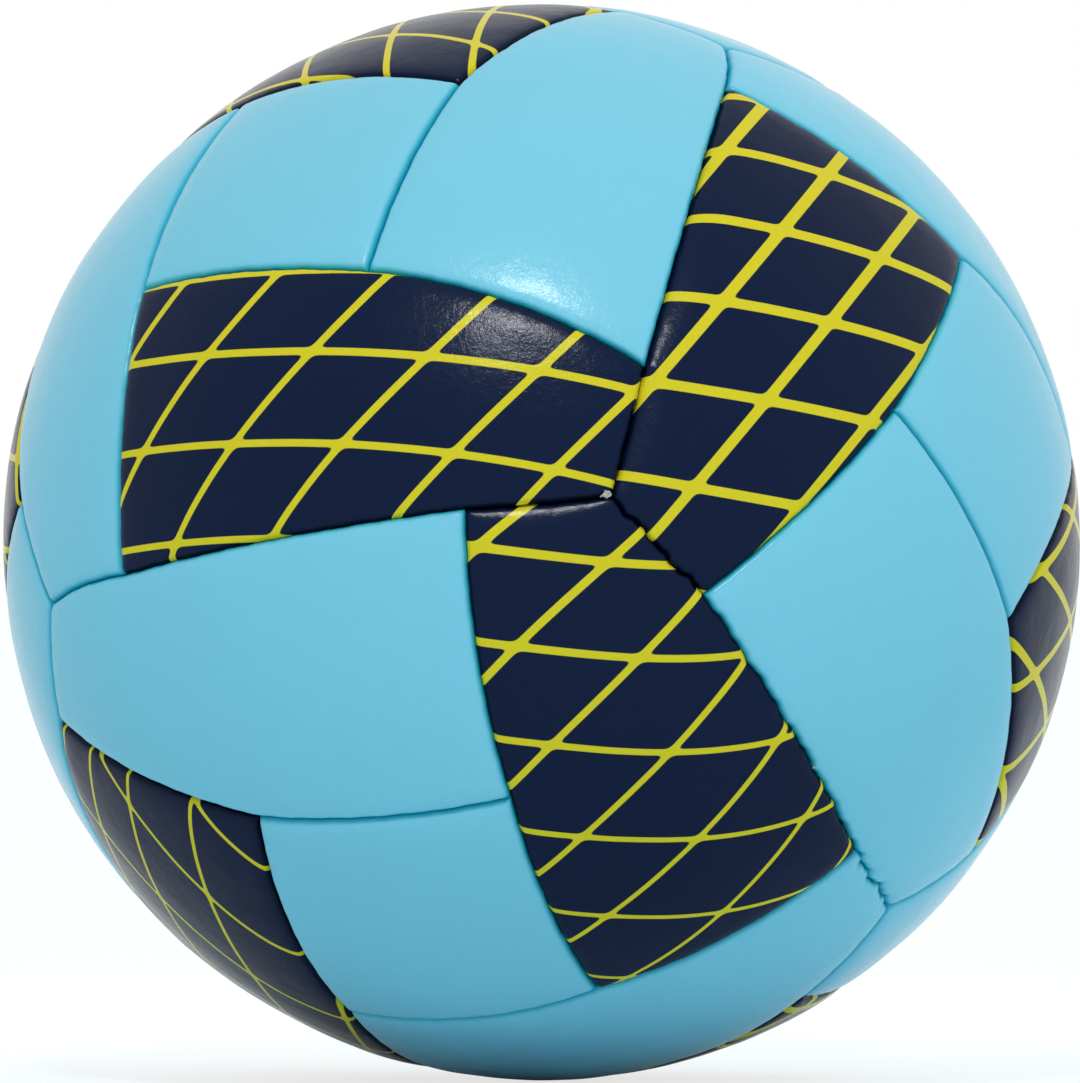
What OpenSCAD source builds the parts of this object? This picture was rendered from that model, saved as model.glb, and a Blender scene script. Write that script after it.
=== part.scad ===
// A hand-stitched handball: thirty laminated cover panels, sewn edge to edge over a valved bladder.
// The origin is the ball's centre. The pattern is laid out on a cube and turned as one at the end.

/* [Ball] */
// Diameter of the ball over its cover panels
ball_d = 180; // [172:1:190]

/* [Panel pattern] */
// Arc from a corner where three panels meet to the next branch of the seam, in degrees
branch_arc = 14.5; // [13:0.1:16]
// Arc from the centre of a square panel to its corners, in degrees
square_arc = 20.2; // [19:0.1:21.4]
// Turn of a square panel's corners about its own centre, in degrees
square_turn = 36.5; // [34:0.1:39]
// Turn of the whole pattern about X, in degrees
pattern_turn_x = 15.6; // [-180:0.1:180]
// Turn of the whole pattern about Y, in degrees
pattern_turn_y = 44.5; // [-180:0.1:180]
// Turn of the whole pattern about Z, in degrees
pattern_turn_z = -107.4; // [-180:0.1:180]

/* [Cover panels] */
// Thickness of the cover skin
skin_t = 1.2; // [0.9:0.1:1.5]
// Depth of a panel's turned-in edges below the ball's surface
edge_depth = 7.2; // [6.8:0.1:8]
// Gap between the turned-in edges of two neighbouring panels
seam_gap = 0.2; // [0.1:0.05:0.4]
// Width of the rounded shoulder on each side of a seam
shoulder_w = 3; // [2.4:0.1:3.6]
// Depth of the groove that the shoulders leave along a seam
groove_depth = 1.8; // [1.4:0.1:2]

/* [Padding] */
// Thickness of the foam under each skin
foam_t = 1.8; // [1.4:0.1:2]
// Thickness of the woven backing under the foam
backing_t = 0.7; // [0.5:0.1:0.8]
// Thickness of each glue line in a panel
glue_t = 0.1; // [0.05:0.05:0.15]

/* [Stitching] */
// Diameter of the waxed sewing thread
thread_d = 0.8; // [0.7:0.05:0.9]
// Depth of the stitch line below the ball's surface
stitch_depth = 5.3; // [5:0.1:5.6]
// Spacing of the stitches along a seam
stitch_pitch = 5.7; // [5:0.1:8]
// Length at each end of a seam that has no stitch
seam_end = 3.6; // [3.4:0.1:4.4]
// Clearance round a stitch in its holes, and between a thread and the edge that it lies on
stitch_clear = 0.1; // [0.05:0.05:0.15]
// Diameter of the knot that ends the closing thread
knot_d = 1; // [0.7:0.1:1]
// Depth of the knot's centre below the ball's surface
knot_depth = 0.7; // [0.6:0.1:0.8]

/* [Bladder] */
// Thickness of the bladder wall
bladder_t = 1; // [0.8:0.1:1.2]
// Clearance between the bladder and what lies round it
bladder_clear = 0.15; // [0.1:0.05:0.2]

/* [Valve] */
// Diameter of the valve body's flange inside the bladder wall
valve_flange_d = 26; // [20:1:30]
// Thickness of the valve body's flange
valve_flange_t = 1.2; // [1:0.1:1.5]
// Diameter of the neck that passes out through the cover
neck_d = 9; // [8.6:0.1:10]
// Diameter of the valve body's barrel inside the bladder
barrel_d = 11; // [10:0.5:13]
// Length of the barrel below the flange
barrel_l = 10; // [8:0.5:12]
// Depth of the valve's top below the ball's surface
valve_recess = 0.4; // [0.2:0.1:0.8]
// Diameter of the core's stem
core_d = 5; // [4.5:0.1:5.4]
// Diameter of the core's head
core_head_d = 7; // [6.4:0.1:7.2]
// Thickness of the core's head
core_head_t = 1.6; // [1.2:0.1:2]
// Length of the core, with its head and its rounded tip
core_l = 19; // [17:0.5:21]
// Diameter of the channel for the inflating needle
needle_d = 2.2; // [2:0.1:2.4]
// Depth of the needle channel below the core's head
needle_depth = 14; // [12:0.5:14.5]
// Width of the chamfer at the channel's mouth
mouth_chamfer = 0.5; // [0.3:0.1:0.7]
// Diameter of the patch that stiffens the backing round the valve
patch_d = 28; // [22:1:30]
// Thickness of the patch
patch_t = 0.5; // [0.4:0.1:0.7]
// Clearance between the parts of the valve and round its neck
valve_clear = 0.1; // [0.05:0.05:0.2]

/* [Hidden] */
$fn = 96;
small_fn = 24;

// Radii of the layers, from the outside in
ball_r = ball_d / 2;
skin_r = ball_r - skin_t;
foam_top_r = skin_r - glue_t;
foam_r = foam_top_r - foam_t;
backing_top_r = foam_r - glue_t;
backing_r = backing_top_r - backing_t;
patch_top_r = backing_r - bladder_clear;
patch_r = patch_top_r - patch_t;
bladder_pad_r = patch_r - bladder_clear;
stitch_r = ball_r - stitch_depth;
edge_r = ball_r - edge_depth;
bladder_base_r = edge_r - bladder_clear;
valve_flange_r = bladder_pad_r - bladder_t - valve_clear;

// The thread is drawn thinner through its holes
drawn_thread_share = 0.8;
drawn_thread_d = thread_d * drawn_thread_share;
// Outline of a thread pressed flat on the edge that it lies on, as shares of its diameter
pressed_thread_shares = [[-0.6, 0], [0.6, 0], [0.6, 0.45], [0.3, 1], [-0.3, 1], [-0.6, 0.45]];

// Distances from a seam's plane
panel_inset = seam_gap / 2;
edge_inset = panel_inset + skin_t;
padding_inset = edge_inset + glue_t;
thread_inset = edge_inset + stitch_clear;
bladder_inset = thread_inset + thread_d + bladder_clear;

// Shoulder outline, from the seam's plane inwards, as shares of its width and of the groove's depth
shoulder_shares = [[0, 1], [0.15, 0.6], [0.45, 0.2], [1, 0]];
cut_over = 1;

// The pattern on one face of the cube, as directions from the ball's centre
corner = unit([1, 1, 1]);
next_corner_way = unit([-2, 1, 1]);
branch = corner * cos(branch_arc) + next_corner_way * sin(branch_arc);
square_corner = [sin(square_arc) * cos(square_turn), sin(square_arc) * sin(square_turn), cos(square_arc)];
far_square_corner = quarter_turned(square_corner, -1);
far_branch = quarter_turned(branch, -1);
side_branch = [branch.z, branch.x, branch.y];

trapezoid_sides = [
    [corner, branch],
    [branch, square_corner],
    [square_corner, far_square_corner],
    [far_square_corner, far_branch],
    [far_branch, corner]
];
// The longest side is two seams, because a neighbour's corner meets it
trapezoid_seams = [
    trapezoid_sides[0],
    trapezoid_sides[1],
    trapezoid_sides[2],
    trapezoid_sides[3],
    [far_branch, side_branch],
    [side_branch, corner]
];
square_sides = [for (k = [0:3]) [quarter_turned(square_corner, k), quarter_turned(square_corner, k + 1)]];

// Turns that carry the first face of the cube to all six, the four quarter-turned ones last
face_turns = [[0, 0, 0], [180, 0, 0], [90, 0, 0], [-90, 0, 0], [0, 90, 0], [0, -90, 0]];
valve_face = 5;
// Turns that carry the four cube edges round one axis to all twelve
edge_turns = [[0, 0, 0], [90, 0, 0], [0, 90, 0]];

NAVY_NODES = [for (i = [1:12]) str("navy_panel_", i)];
SKY_NODES = [for (i = [1:12]) str("sky_panel_", i)];
SQUARE_NODES = [for (i = [1:6]) str("square_panel_", i)];
INNER_NODES = [
    "navy_foam_pads", "sky_foam_pads", "square_foam_pads",
    "navy_backings", "sky_backings", "square_backings",
    "corner_seam_threads", "spoke_seam_threads", "square_seam_threads", "long_seam_threads",
    "closing_knot", "bladder", "valve_patch", "valve_body", "valve_core"
];

function unit(v) = v / norm(v);
function quarter_turned(v, k) = [
    v.x * cos(90 * k) - v.y * sin(90 * k),
    v.x * sin(90 * k) + v.y * cos(90 * k),
    v.z
];
function arc_of(seam) = acos(seam[0] * seam[1]);
function arc_for(length) = length / stitch_r * 180 / PI;
function stitch_count(seam) = max(1, round((arc_of(seam) - arc_for(2 * seam_end)) / arc_for(stitch_pitch)));
function stitch_angles(seam) = [
    for (i = [0:stitch_count(seam)])
        arc_for(seam_end) + (arc_of(seam) - arc_for(2 * seam_end)) * i / stitch_count(seam)
];

// The face and the quarter turn of a coloured panel: neighbouring faces swap the two colours
function panel_face(i) = floor((i - 1) / 2);
function panel_quarter(i, colour) = 2 * ((i - 1) % 2) + (panel_face(i) > 1 ? 1 - colour : colour);
navy = 0;
sky = 1;

module in_pattern() {
    rotate([pattern_turn_x, pattern_turn_y, pattern_turn_z]) children();
}

module on_face(face, quarter = 0) {
    in_pattern() rotate(face_turns[face]) rotate([0, 0, 90 * quarter]) children();
}

// Seam frame: X through the seam's start, Z square to its plane and into the panel on its left
module along_seam(seam) {
    x_way = seam[0];
    z_way = unit(cross(seam[0], seam[1]));
    y_way = cross(z_way, x_way);
    multmatrix([
        [x_way.x, y_way.x, z_way.x, 0],
        [x_way.y, y_way.y, z_way.y, 0],
        [x_way.z, y_way.z, z_way.z, 0],
        [0, 0, 0, 1]
    ]) children();
}

module panel_space(sides, inset) {
    intersection_for(side = sides)
        along_seam(side) translate([-ball_d, -ball_d, inset]) cube([2 * ball_d, 2 * ball_d, ball_d]);
}

module layer(outer_r, inner_r) {
    difference() {
        sphere(r = outer_r);
        sphere(r = inner_r);
    }
}

// Rounds a panel's edges down into its seams: each facet of a shoulder is cut by a large ball that
// is centred on the axis of the seam's plane
module shouldered(facets, i = 0) {
    if (i < len(facets)) {
        facet = facets[i][1];
        rim = [
            for (share = [shoulder_shares[facet - 1], shoulder_shares[facet]])
                [
                    sqrt(pow(ball_r, 2) - pow(share[0] * shoulder_w, 2)) - share[1] * groove_depth,
                    share[0] * shoulder_w
                ]
        ];
        centre = (rim[0] * rim[0] - rim[1] * rim[1]) / (2 * (rim[0].y - rim[1].y));
        intersection() {
            shouldered(facets, i + 1) children();
            along_seam(facets[i][0]) translate([0, 0, centre])
                sphere(r = norm(rim[1] - [0, centre]), $fn = 2 * $fn);
        }
    } else {
        children();
    }
}

module stitch_holes(seam) {
    hole_d = drawn_thread_d + 2 * stitch_clear;
    along_seam(seam) for (angle = stitch_angles(seam))
        rotate([0, 0, angle]) translate([stitch_r, 0, 0])
            cylinder(d = hole_d, h = 2 * edge_inset + cut_over, center = true, $fn = small_fn);
}

module skin(sides, seams) {
    difference() {
        shouldered([for (side = sides) for (facet = [1:len(shoulder_shares) - 1]) [side, facet]])
        intersection() {
            layer(ball_r, edge_r);
            panel_space(sides, panel_inset);
        }
        intersection() {
            sphere(r = skin_r);
            panel_space(sides, edge_inset);
        }
        for (seam = seams) stitch_holes(seam);
    }
}

module pad(sides, top_r, bottom_r) {
    intersection() {
        layer(top_r, bottom_r);
        panel_space(sides, padding_inset);
    }
}

module neck_hole() {
    cylinder(d = neck_d + 2 * valve_clear, h = ball_r + cut_over);
}

module navy_panel(i) {
    color("#191d38") on_face(panel_face(i), panel_quarter(i, navy)) skin(trapezoid_sides, trapezoid_seams);
}

module sky_panel(i) {
    color("#7fcfe6") on_face(panel_face(i), panel_quarter(i, sky)) skin(trapezoid_sides, trapezoid_seams);
}

module square_panel(i) {
    color("#86d3e8") on_face(i - 1) difference() {
        skin(square_sides, square_sides);
        if (i - 1 == valve_face) neck_hole();
    }
}

module trapezoid_pads(colour, top_r, bottom_r) {
    for (i = [1:12])
        on_face(panel_face(i), panel_quarter(i, colour)) pad(trapezoid_sides, top_r, bottom_r);
}

module square_pads(top_r, bottom_r) {
    for (face = [0:5]) on_face(face) difference() {
        pad(square_sides, top_r, bottom_r);
        if (face == valve_face) neck_hole();
    }
}

module navy_foam_pads() {
    color("#e8e4d8") trapezoid_pads(navy, foam_top_r, foam_r);
}

module sky_foam_pads() {
    color("#e8e4d8") trapezoid_pads(sky, foam_top_r, foam_r);
}

module square_foam_pads() {
    color("#e8e4d8") square_pads(foam_top_r, foam_r);
}

module navy_backings() {
    color("#cfc6ae") trapezoid_pads(navy, backing_top_r, backing_r);
}

module sky_backings() {
    color("#cfc6ae") trapezoid_pads(sky, backing_top_r, backing_r);
}

module square_backings() {
    color("#cfc6ae") square_pads(backing_top_r, backing_r);
}

// Two lines of thread pressed flat on the turned-in edges, joined by a stitch through each pair of holes
module seam_thread(seam) {
    angles = stitch_angles(seam);
    first = angles[0] - arc_for(thread_d);
    last = angles[len(angles) - 1] + arc_for(thread_d);
    outline = [for (share = pressed_thread_shares) [stitch_r, thread_inset] + share * thread_d];
    stitch_l = 2 * thread_inset + thread_d;
    along_seam(seam) {
        for (side = [0, 1]) mirror([0, 0, side])
            rotate([0, 0, first]) rotate_extrude(angle = last - first) polygon(outline);
        for (angle = angles)
            rotate([0, 0, angle]) translate([stitch_r, 0, 0])
                cylinder(d = drawn_thread_d, h = stitch_l, center = true, $fn = small_fn);
    }
}

module face_threads(seam) {
    for (face = [0:5]) for (quarter = [0:3]) on_face(face, quarter) seam_thread(seam);
}

module corner_seam_threads() {
    color("#d9d5c8") face_threads([corner, branch]);
}

module spoke_seam_threads() {
    color("#d9d5c8") face_threads([branch, square_corner]);
}

module square_seam_threads() {
    color("#d9d5c8") face_threads(square_sides[0]);
}

module long_seam_threads() {
    // The long seam on the cube edge from one corner down to the next
    upper = [branch.y, branch.z, branch.x];
    color("#d9d5c8") in_pattern() for (edge = edge_turns) for (quarter = [0:3])
        rotate(edge) rotate([0, 0, 90 * quarter]) seam_thread([upper, [upper.x, upper.y, -upper.z]]);
}

module closing_knot() {
    color("#f2f0ea") in_pattern() translate(corner * (ball_r - knot_depth))
        sphere(d = knot_d, $fn = small_fn);
}

// The inflated form: it swells into every panel and is pressed in along the seams
module bladder_form(wall) {
    sphere(r = bladder_base_r - wall);
    for (face = [0:5]) {
        rotate(face_turns[face]) intersection() {
            sphere(r = bladder_pad_r - wall);
            panel_space(square_sides, bladder_inset + wall);
        }
        for (quarter = [0:3]) rotate(face_turns[face]) rotate([0, 0, 90 * quarter]) intersection() {
            sphere(r = bladder_pad_r - wall);
            panel_space(trapezoid_sides, bladder_inset + wall);
        }
    }
}

module bladder() {
    color("#2b2b2d") in_pattern() difference() {
        bladder_form(0);
        bladder_form(bladder_t);
        rotate(face_turns[valve_face]) neck_hole();
    }
}

module valve_patch() {
    color("#8c8676") on_face(valve_face) difference() {
        intersection() {
            layer(patch_top_r, patch_r);
            cylinder(d = patch_d, h = ball_r);
        }
        neck_hole();
    }
}

module valve_body() {
    top = ball_r - valve_recess;
    bottom = valve_flange_r - valve_flange_t - barrel_l;
    color("#202124") on_face(valve_face) difference() {
        union() {
            intersection() {
                layer(valve_flange_r, valve_flange_r - valve_flange_t);
                cylinder(d = valve_flange_d, h = ball_r);
            }
            translate([0, 0, bottom]) cylinder(d = neck_d, h = top - bottom);
            translate([0, 0, bottom]) cylinder(d = barrel_d, h = barrel_l);
        }
        translate([0, 0, bottom - cut_over])
            cylinder(d = core_d + 2 * valve_clear, h = top - bottom + 2 * cut_over);
        translate([0, 0, top - core_head_t - valve_clear])
            cylinder(d = core_head_d + 2 * valve_clear, h = core_head_t + valve_clear + cut_over);
    }
}

module valve_core() {
    top = ball_r - valve_recess;
    tip_r = core_d / 2;
    color("#3a3b3f") on_face(valve_face) difference() {
        union() {
            translate([0, 0, top - core_head_t]) cylinder(d = core_head_d, h = core_head_t);
            translate([0, 0, top - core_l + tip_r]) cylinder(d = core_d, h = core_l - tip_r);
            translate([0, 0, top - core_l + tip_r]) sphere(r = tip_r);
        }
        translate([0, 0, top - needle_depth])
            cylinder(d = needle_d, h = needle_depth + cut_over, $fn = small_fn);
        translate([0, 0, top - mouth_chamfer])
            cylinder(r1 = needle_d / 2, r2 = needle_d / 2 + cut_over, h = cut_over, $fn = small_fn);
    }
}

for (i = [1:12]) navy_panel(i);
for (i = [1:12]) sky_panel(i);
for (i = [1:6]) square_panel(i);
navy_foam_pads();
sky_foam_pads();
square_foam_pads();
navy_backings();
sky_backings();
square_backings();
corner_seam_threads();
spoke_seam_threads();
square_seam_threads();
long_seam_threads();
closing_knot();
bladder();
valve_patch();
valve_body();
valve_core();
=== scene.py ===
import math

import bpy
import numpy as np
from mathutils import Matrix, Vector


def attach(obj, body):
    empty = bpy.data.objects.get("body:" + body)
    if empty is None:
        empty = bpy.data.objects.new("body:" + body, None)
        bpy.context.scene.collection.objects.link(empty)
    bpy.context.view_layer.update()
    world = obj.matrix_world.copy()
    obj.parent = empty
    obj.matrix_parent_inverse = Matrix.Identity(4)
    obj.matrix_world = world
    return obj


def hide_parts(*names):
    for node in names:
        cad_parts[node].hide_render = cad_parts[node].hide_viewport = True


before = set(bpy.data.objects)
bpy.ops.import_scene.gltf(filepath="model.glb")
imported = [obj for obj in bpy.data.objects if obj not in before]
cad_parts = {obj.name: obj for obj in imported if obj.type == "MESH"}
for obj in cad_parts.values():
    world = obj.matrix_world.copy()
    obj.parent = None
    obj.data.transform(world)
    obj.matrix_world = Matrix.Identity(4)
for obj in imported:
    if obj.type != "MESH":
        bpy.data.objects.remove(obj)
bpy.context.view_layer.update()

# ---------------------------------------------------------------- sizes, in millimetres
MM = 0.001
BALL_R = 90.0
# A panel's layers, and how deep its turned-in edges reach below the ball's surface
SKIN_T = 1.2
GLUE = 0.1
FOAM_T = 1.8
BACKING_T = 0.7
EDGE_DEPTH = 7.2
# Half the gap between two panels, and the hole for the valve's neck
GAP = 0.03
NECK_R = 4.6
# Stitching: the line's depth, the spacing, the bare length at a seam's ends, and the thread
STITCH_DEPTH = 5.3
STITCH_PITCH = 5.7
SEAM_END = 3.6
THREAD_D = 0.8
THREAD_CLEAR = 0.1
# A seam's groove, from wide and shallow to narrow: fold, rounded crack and notch
FOLD_W, FOLD_DEPTH = 5.0, 0.30
CRACK_W, CRACK_DEPTH = 2.2, 0.50
NOTCH_W, NOTCH_DEPTH = 0.70, 0.70
# How far from a seam its painted shade reaches, and how much thinner a printed line is than it looks in the photo
SEAM_SHADE_REACH = 0.55
LINE_BLUR = 0.10

# ---------------------------------------------------------------- the panel pattern


def unit(v):
    v = np.asarray(v, float)
    return v / np.linalg.norm(v, axis=-1, keepdims=True)


def turn(axis, degrees):
    return np.array(Matrix.Rotation(math.radians(degrees), 3, axis))


# How the pattern's cube stands in the photo
POSE = turn("Z", -107.4) @ turn("Y", 44.5) @ turn("X", 15.6)
# In degrees: from a cube corner to a branch of its seams, from a face's middle to its square's corners, their turn
BRANCH_ARC, SQUARE_ARC, SQUARE_TURN = (math.radians(a) for a in (14.5, 20.2, 36.5))

# The pattern's three kinds of corner, and the outlines of one trapezoid and one square panel through them
CORNER = unit([1, 1, 1])
BRANCH = CORNER * math.cos(BRANCH_ARC) + unit([-2, 1, 1]) * math.sin(BRANCH_ARC)
SQUARE = np.array([
    math.sin(SQUARE_ARC) * math.cos(SQUARE_TURN),
    math.sin(SQUARE_ARC) * math.sin(SQUARE_TURN),
    math.cos(SQUARE_ARC),
])
BACK_TURN = turn("Z", -90)
TRAPEZOID = [CORNER, BRANCH, SQUARE, BACK_TURN @ SQUARE, BACK_TURN @ BRANCH, BRANCH[[2, 0, 1]]]
SQUARE_PANEL = [turn("Z", 90 * k) @ SQUARE for k in range(4)]
# The turns that bring these two to each face of the cube, and the face that has the valve
FACE_TURNS = [
    np.eye(3), turn("X", 180), turn("X", 90), turn("X", -90), turn("Y", 90), turn("Y", -90),
]
VALVE_FACE = 5

# How far the sewn corners in front stray from the even pattern: where the corner is on the cube, its shift in mm
STRAYS = {
    "start": ((0.58, 0.58, 0.58), (0.90, 0.96, -1.86)),
    "a_top": ((0.35, 0.66, 0.66), (1.20, -0.30, -0.35)),
    "c_left": ((0.66, 0.35, 0.66), (-0.08, -0.04, 0.10)),
    "b_end": ((0.66, 0.66, 0.35), (-0.91, 1.76, -1.60)),
    "a_rise": ((0.28, 0.21, 0.94), (-0.56, -0.53, 0.28)),
    "a_far": ((0.21, -0.28, 0.94), (-3.27, -2.96, -0.16)),
    "a_foot": ((0.66, -0.35, 0.66), (-1.83, -1.86, 0.83)),
    "left": ((0.58, -0.58, 0.58), (-2.19, -2.98, -0.79)),
    "left_low": ((0.66, -0.66, 0.35), (-2.44, -2.20, 0.46)),
    "e_foot": ((0.94, -0.21, 0.28), (-0.42, -1.34, 0.44)),
    "c_mid": ((0.94, 0.28, 0.21), (0.08, -0.16, -0.16)),
    "c_foot": ((0.94, 0.21, -0.28), (-0.21, -1.18, -1.58)),
    "i_foot": ((0.94, -0.28, -0.21), (-1.51, -3.09, -2.73)),
    "c_end": ((0.66, 0.66, -0.35), (1.14, 0.37, 2.82)),
    "b_top": ((-0.35, 0.66, 0.66), (-1.74, -0.71, -0.22)),
    "top": ((-0.58, 0.58, 0.58), (0.28, -0.89, 1.16)),
    "b_right": ((-0.28, 0.94, 0.21), (-1.65, -0.44, -0.23)),
    "b_low": ((0.21, 0.94, 0.28), (-1.63, 0.31, 0.15)),
    "f_right": ((0.28, 0.94, -0.21), (-2.22, 0.43, -1.02)),
    "right_low": ((0.58, 0.58, -0.58), (0.70, 1.73, 2.43)),
    "d_top": ((-0.21, 0.28, 0.94), (-0.48, -0.50, 0.04)),
    "g_far": ((-0.28, -0.21, 0.94), (-4.19, -2.81, -1.85)),
    "far_left": ((0.35, -0.66, 0.66), (-2.76, -3.49, -2.01)),
    "low_far": ((0.66, 0.35, -0.66), (-1.30, 0.77, -0.89)),
    "low_end": ((0.66, -0.35, -0.66), (0.0, 0.0, 0.0)),
    "low_left": ((0.66, -0.66, -0.35), (-2.04, -1.40, -1.69)),
    "right_far": ((-0.21, 0.94, -0.28), (-2.72, -1.87, -2.26)),
}
# Seams that bow to the left of the way from the first corner to the second, in mm
BOWS = [
    ("a_top", "a_rise", -1.60), ("a_far", "a_foot", 1.41), ("a_foot", "c_left", 0.52), ("c_left", "start", -0.22),
    ("start", "b_end", -0.31), ("a_top", "b_top", 0.88), ("b_right", "b_low", -0.17), ("b_low", "b_end", 0.45),
    ("c_end", "c_foot", -0.35), ("c_foot", "c_mid", 0.98), ("c_mid", "c_left", 1.31), ("d_top", "g_far", 0.20),
    ("a_foot", "left", -0.76), ("left", "left_low", -0.15), ("e_foot", "c_mid", -0.23), ("e_foot", "i_foot", -0.91),
    ("c_foot", "i_foot", 0.65), ("b_low", "f_right", 0.40), ("b_top", "top", -0.37), ("a_rise", "d_top", 0.25),
    ("left", "far_left", -0.38), ("left_low", "e_foot", 0.14), ("c_end", "right_low", -0.19),
    ("b_top", "b_right", -1.89), ("low_far", "low_end", 2.40),
    ("left_low", "low_left", -3.50), ("b_right", "right_far", 3.50), ("f_right", "right_far", 2.50),
]
# How far, in mm, the stretches wander that were sewn last and from outside
CLOSING = {("start", "b_end"): 0.34, ("b_end", "c_end"): 0.20, ("c_end", "right_low"): 0.46}
# Edges that roll down further than the rest: how deep and how wide, in mm, on the panel to the left of the way
ROLLS = {
    ("a_top", "start"): (1.3, 7.5), ("b_top", "a_top"): (1.3, 7.5), ("start", "c_left"): (0.9, 6.0),
    ("g_far", "a_far"): (0.5, 5.0), ("d_top", "a_rise"): (0.3, 5.0),
}
# Corners whose directions agree by this cosine are the same one
SAME_PLACE = 0.9995


def corner_name(vertex):
    for name, (place, _) in STRAYS.items():
        if np.dot(unit(place), vertex) > SAME_PLACE:
            return name
    return None


def strayed(vertex):
    """The corner where it is really sewn, as a direction in the pattern's own axes."""
    name = corner_name(vertex)
    return vertex if name is None else unit(vertex + np.array(STRAYS[name][1]) / BALL_R)


# ---------------------------------------------------------------- soft unevenness, seeded

# How much the wavelengths spread round their middle
WAVE_SPREAD = (0.7, 1.5)


class Waves:
    """Smooth, repeatable unevenness in space: a sum of plane waves near one wavelength."""

    def __init__(self, seed, wavelength, count=24):
        rng = np.random.default_rng(seed)
        ways = unit(rng.normal(size=(count, 3)))
        self.ways = ways * (2 * np.pi / (wavelength * rng.uniform(*WAVE_SPREAD, (count, 1))))
        self.phase = rng.uniform(0, 2 * np.pi, count)
        self.scale = math.sqrt(2 / count)

    def __call__(self, p):
        return np.cos(p @ self.ways.T + self.phase).sum(axis=1) * self.scale


lumps = Waves(3, 26.0)
ripples = Waves(5, 7.0)

# How far a stitch can sit from its even place, in mm, how hard its thread pulls, and the part both panels feel
STITCH_STRAY = 0.8
PULLS = (0.25, 1.0)
SHARED_PULL = 0.35
# A seam's wander: the share and the length, in stitches, of each of its waves, and how it fades at the ends
WANDER_WAVES = [(0.7, 1.05), (0.6, 2.3), (0.4, 0.47)]
EVEN_WANDER = 0.05
WANDER_FADE = 3.0
# The dents that stitches pull into an edge: half lengths along the seam of the dip, the nick and the fine crease
DIP_L, NICK_L, FINE_L = 1.3, 0.38, 0.30
# How much a dip widens the crack of a closing seam and of the others, and how much it deepens the fold
CLOSING_WIDENS, EVEN_WIDENS, DIP_DEEPENS = 0.35, 0.08, 0.10
# Depth, and reach from the seam, of the nicks, dips and fine creases of a closing seam that wanders CLOSING_WANDER
CLOSING_WANDER = 0.35
CLOSING_NICK, CLOSING_DIP, CLOSING_FINE = (0.42, 1.1), (0.14, 2.6), (0.16, 3.0)
FINE_SLANT = 0.45
# The same nicks and dips of all other seams
EVEN_NICK, EVEN_DIP = (0.03, 1.2), (0.03, 3.0)


def bell(x, width):
    return np.exp(-((x / width) ** 2))


def draw_key(vertex):
    """A whole number for a corner of the even pattern, to seed a seam's own draws."""
    x, y, z = (int(round(1000 * (c + 1))) for c in vertex)
    return x * 7919 + y * 104 + z


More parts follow.
